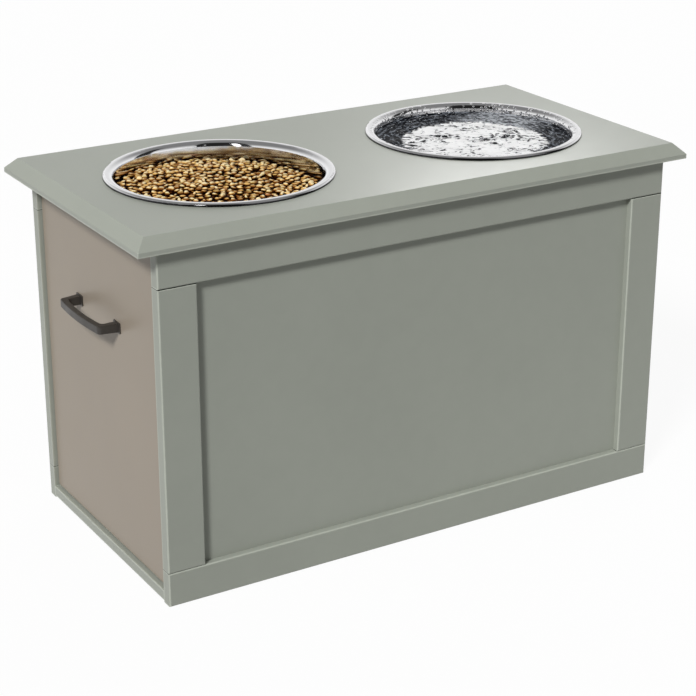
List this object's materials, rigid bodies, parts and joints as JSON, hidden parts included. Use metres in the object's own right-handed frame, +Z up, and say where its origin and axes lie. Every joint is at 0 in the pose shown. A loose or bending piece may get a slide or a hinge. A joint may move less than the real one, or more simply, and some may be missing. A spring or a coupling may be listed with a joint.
{
  "type": "elevated dog feeder",
  "caption": "Raised pet feeding cabinet with steel bowls hung in a bevelled top and a full-height storage drawer in one end, on roller runners.",
  "frame": {"origin": "on the floor, under the middle of the top board", "axes": "+X along the cabinet away from the drawer, -Y out of the front frame, +Z up"},
  "size_m": [0.6, 0.305, 0.3631],
  "materials": {
    "painted_board": "satin grey-green paint on fibreboard, eased edges",
    "painted_drawer_front": "satin taupe paint on fibreboard",
    "inner_board": "bare fibreboard with a pale lacquer",
    "hardboard": "thin hardboard, pale face",
    "beech": "fluted beech dowel",
    "polished_steel": "polished stainless steel sheet",
    "runner_steel": "white epoxy coated sheet steel",
    "nylon": "natural nylon",
    "zinc_steel": "zinc plated steel",
    "black_metal": "matt black powder coat"
  },
  "bodies": {
    "cabinet": {"front_bottom_rail": "painted_board", "front_top_rail": "painted_board", "front_left_stile": "painted_board", "front_right_stile": "painted_board", "front_panel": "painted_board", "front_frame_dowels": "beech", "front_cleat": "inner_board", "front_cleat_screws": "zinc_steel", "back_bottom_rail": "painted_board", "back_top_rail": "painted_board", "back_left_stile": "painted_board", "back_right_stile": "painted_board", "back_panel": "painted_board", "back_frame_dowels": "beech", "back_cleat": "inner_board", "back_cleat_screws": "zinc_steel", "top_board": "painted_board", "bottom_board": "painted_board", "right_end_panel": "painted_board", "bottom_board_dowels": "beech", "end_panel_dowels": "beech", "near_cabinet_runner": "runner_steel", "near_cabinet_roller_pin": "zinc_steel", "near_cabinet_runner_screws": "zinc_steel", "far_cabinet_runner": "runner_steel", "far_cabinet_roller_pin": "zinc_steel", "far_cabinet_runner_screws": "zinc_steel"},
    "drawer": {"drawer_front": "painted_drawer_front", "drawer_near_side": "inner_board", "drawer_far_side": "inner_board", "drawer_rear": "inner_board", "drawer_bottom": "hardboard", "drawer_dowels": "beech", "drawer_screws": "zinc_steel", "drawer_handle": "black_metal", "handle_screws": "zinc_steel", "near_drawer_runner": "runner_steel", "far_drawer_runner": "runner_steel", "near_drawer_roller_pin": "zinc_steel", "far_drawer_roller_pin": "zinc_steel", "near_drawer_runner_screws": "zinc_steel", "far_drawer_runner_screws": "zinc_steel"},
    "food_bowl": {"food_bowl": "polished_steel"},
    "water_bowl": {"water_bowl": "polished_steel"},
    "near_cabinet_roller": {"near_cabinet_roller": "nylon"},
    "far_cabinet_roller": {"far_cabinet_roller": "nylon"},
    "near_drawer_roller": {"near_drawer_roller": "nylon"},
    "far_drawer_roller": {"far_drawer_roller": "nylon"}
  },
  "joints": [
    {"name": "drawer_slide", "type": "slide", "parent": "cabinet", "child": "drawer", "axis": [-1, 0, 0], "range_m": [0, 0.375]},
    {"name": "food_bowl_lift", "type": "slide", "parent": "cabinet", "child": "food_bowl", "axis": [0, 0, 1], "range_m": [0, 0.12]},
    {"name": "water_bowl_lift", "type": "slide", "parent": "cabinet", "child": "water_bowl", "axis": [0, 0, 1], "range_m": [0, 0.12]},
    {"name": "near_cabinet_roller_spin", "type": "hinge", "parent": "cabinet", "child": "near_cabinet_roller", "pos_m": [-0.245, -0.1263, 0.0278], "axis": [0, -1, 0], "range_deg": [0, 1800]},
    {"name": "near_drawer_roller_spin", "type": "hinge", "parent": "drawer", "child": "near_drawer_roller", "pos_m": [0.223, -0.1242, 0.0255], "axis": [0, -1, 0], "range_deg": [0, 2160]},
    {"name": "far_cabinet_roller_spin", "type": "hinge", "parent": "cabinet", "child": "far_cabinet_roller", "pos_m": [-0.245, 0.1203, 0.0278], "axis": [0, -1, 0], "range_deg": [0, 1800]},
    {"name": "far_drawer_roller_spin", "type": "hinge", "parent": "drawer", "child": "far_drawer_roller", "pos_m": [0.223, 0.1182, 0.0255], "axis": [0, -1, 0], "range_deg": [0, 2160]}
  ],
  "couplings": [
    {"joint": "near_cabinet_roller_spin", "follows": "drawer_slide", "rad_per_m": 83.333},
    {"joint": "near_drawer_roller_spin", "follows": "drawer_slide", "rad_per_m": 100},
    {"joint": "far_cabinet_roller_spin", "follows": "drawer_slide", "rad_per_m": 83.333},
    {"joint": "far_drawer_roller_spin", "follows": "drawer_slide", "rad_per_m": 100}
  ]
}
